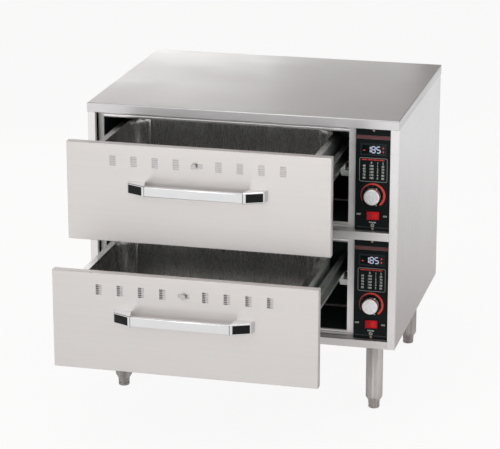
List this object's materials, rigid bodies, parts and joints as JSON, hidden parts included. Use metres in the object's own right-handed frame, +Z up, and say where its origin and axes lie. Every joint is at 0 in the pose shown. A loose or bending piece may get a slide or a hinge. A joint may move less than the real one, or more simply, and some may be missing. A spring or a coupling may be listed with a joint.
{
  "type": "countertop warming drawer",
  "caption": "Stainless countertop warming cabinet with pull-out drawers on rollers, lift-in pans, sliding vents, dial controls and levelling legs.",
  "frame": {"origin": "on the floor, under the middle of the plan box of the whole part with both drawers at their stored pull-out", "axes": "+X to the right of the front, +Y to the back, +Z up"},
  "size_m": [0.749, 0.9916, 0.729],
  "materials": {
    "satin_steel": "satin brushed stainless",
    "trim_steel": "smooth stainless",
    "back_steel": "plain aluminised sheet",
    "cavity_steel": "dull aluminised sheet",
    "slide_steel": "zinc plated",
    "pan_steel": "drawn stainless",
    "heating_rod": "heat-darkened sheath",
    "nylon": "white nylon",
    "bright_chrome": "polished",
    "knob_metal": "turned",
    "spindle_steel": "turned",
    "black_inlay": "gloss",
    "control_black": "satin black",
    "display_black": "gloss",
    "switch_black": "moulded",
    "rocker_red": "lit red",
    "leg_steel": "plated tube",
    "foot_steel": "plated",
    "bushing_black": "moulded nylon",
    "mineral_wool": "mineral wool",
    "thermostat_metal": "plain"
  },
  "bodies": {
    "cabinet": {"top_cover": "satin_steel", "left_side_panel": "satin_steel", "right_side_panel": "satin_steel", "base_panel": "satin_steel", "mid_rail": "satin_steel", "back_panel": "back_steel", "cord_gland": "bushing_black", "insulation": "mineral_wool", "thermostats": "thermostat_metal", "legs": "leg_steel", "upper_trim_frame": "trim_steel", "upper_liner": "cavity_steel", "upper_elements": "heating_rod", "upper_slide_channels": "slide_steel", "upper_control_panel": "control_black", "upper_display": "display_black", "upper_switch_body": "switch_black", "lower_trim_frame": "trim_steel", "lower_liner": "cavity_steel", "lower_elements": "heating_rod", "lower_slide_channels": "slide_steel", "lower_control_panel": "control_black", "lower_display": "display_black", "lower_switch_body": "switch_black"},
    "upper_drawer": {"upper_front_skin": "satin_steel", "upper_inner_panel": "trim_steel", "upper_slide_rails": "slide_steel", "upper_pan_carrier": "slide_steel", "upper_pan": "pan_steel", "upper_handle_bar": "bright_chrome", "upper_handle_brackets": "bright_chrome", "upper_handle_inlays": "black_inlay"},
    "upper_vent": {"upper_vent_plate": "trim_steel", "upper_vent_knob": "bright_chrome"},
    "upper_mouth_rollers": {"upper_mouth_rollers": "nylon"},
    "upper_rear_rollers": {"upper_rear_rollers": "nylon"},
    "upper_dial": {"upper_spindle": "spindle_steel", "upper_knob": "knob_metal"},
    "upper_rocker": {"upper_rocker": "rocker_red"},
    "lower_drawer": {"lower_front_skin": "satin_steel", "lower_inner_panel": "trim_steel", "lower_slide_rails": "slide_steel", "lower_pan_carrier": "slide_steel", "lower_pan": "pan_steel", "lower_handle_bar": "bright_chrome", "lower_handle_brackets": "bright_chrome", "lower_handle_inlays": "black_inlay"},
    "lower_vent": {"lower_vent_plate": "trim_steel", "lower_vent_knob": "bright_chrome"},
    "lower_mouth_rollers": {"lower_mouth_rollers": "nylon"},
    "lower_rear_rollers": {"lower_rear_rollers": "nylon"},
    "lower_dial": {"lower_spindle": "spindle_steel", "lower_knob": "knob_metal"},
    "lower_rocker": {"lower_rocker": "rocker_red"},
    "front_left_foot": {"front_left_foot": "foot_steel"},
    "front_right_foot": {"front_right_foot": "foot_steel"},
    "rear_left_foot": {"rear_left_foot": "foot_steel"},
    "rear_right_foot": {"rear_right_foot": "foot_steel"}
  },
  "joints": [
    {"name": "upper_drawer_slide", "type": "slide", "parent": "cabinet", "child": "upper_drawer", "axis": [0, -1, 0], "range_m": [-0.2275, 0.1526]},
    {"name": "upper_mouth_rollers_spin", "type": "hinge", "parent": "cabinet", "child": "upper_mouth_rollers", "pos_m": [-0.0437, -0.06475, 0.5965], "axis": [1, 0, 0], "range_deg": [-1028, 690]},
    {"name": "upper_rear_rollers_spin", "type": "hinge", "parent": "upper_drawer", "child": "upper_rear_rollers", "pos_m": [-0.0437, 0.13525, 0.5957], "axis": [1, 0, 0], "range_deg": [-796, 1186]},
    {"name": "upper_vent_slide", "type": "slide", "parent": "upper_drawer", "child": "upper_vent", "axis": [1, 0, 0], "range_m": [0, 0.014]},
    {"name": "upper_dial_turn", "type": "hinge", "parent": "cabinet", "child": "upper_dial", "pos_m": [0.313, -0.09775, 0.5445], "axis": [0, 1, 0], "range_deg": [-163, 107]},
    {"name": "upper_rocker_tilt", "type": "hinge", "parent": "cabinet", "child": "upper_rocker", "pos_m": [0.313, -0.09525, 0.496], "axis": [0, 0, 1], "range_deg": [-16, 0]},
    {"name": "lower_drawer_slide", "type": "slide", "parent": "cabinet", "child": "lower_drawer", "axis": [0, -1, 0], "range_m": [-0.3495, 0.0306]},
    {"name": "lower_mouth_rollers_spin", "type": "hinge", "parent": "cabinet", "child": "lower_mouth_rollers", "pos_m": [-0.0437, -0.06475, 0.3285], "axis": [1, 0, 0], "range_deg": [-1578, 140]},
    {"name": "lower_rear_rollers_spin", "type": "hinge", "parent": "lower_drawer", "child": "lower_rear_rollers", "pos_m": [-0.0437, 0.01325, 0.3277], "axis": [1, 0, 0], "range_deg": [-161, 1822]},
    {"name": "lower_vent_slide", "type": "slide", "parent": "lower_drawer", "child": "lower_vent", "axis": [1, 0, 0], "range_m": [-0.007, 0.007]},
    {"name": "lower_dial_turn", "type": "hinge", "parent": "cabinet", "child": "lower_dial", "pos_m": [0.313, -0.09775, 0.2765], "axis": [0, 1, 0], "range_deg": [-163, 107]},
    {"name": "lower_rocker_tilt", "type": "hinge", "parent": "cabinet", "child": "lower_rocker", "pos_m": [0.313, -0.09525, 0.228], "axis": [0, 0, 1], "range_deg": [-16, 0]},
    {"name": "front_left_foot_screw", "type": "slide", "parent": "cabinet", "child": "front_left_foot", "axis": [0, 0, -1], "range_m": [-0.018, 0.025]},
    {"name": "front_right_foot_screw", "type": "slide", "parent": "cabinet", "child": "front_right_foot", "axis": [0, 0, -1], "range_m": [-0.018, 0.025]},
    {"name": "rear_left_foot_screw", "type": "slide", "parent": "cabinet", "child": "rear_left_foot", "axis": [0, 0, -1], "range_m": [-0.018, 0.025]},
    {"name": "rear_right_foot_screw", "type": "slide", "parent": "cabinet", "child": "rear_right_foot", "axis": [0, 0, -1], "range_m": [-0.018, 0.025]}
  ],
  "couplings": [
    {"joint": "upper_mouth_rollers_spin", "follows": "upper_drawer_slide", "rad_per_m": 78.74},
    {"joint": "upper_rear_rollers_spin", "follows": "upper_drawer_slide", "rad_per_m": -90.909},
    {"joint": "lower_mouth_rollers_spin", "follows": "lower_drawer_slide", "rad_per_m": 78.74},
    {"joint": "lower_rear_rollers_spin", "follows": "lower_drawer_slide", "rad_per_m": -90.909}
  ]
}
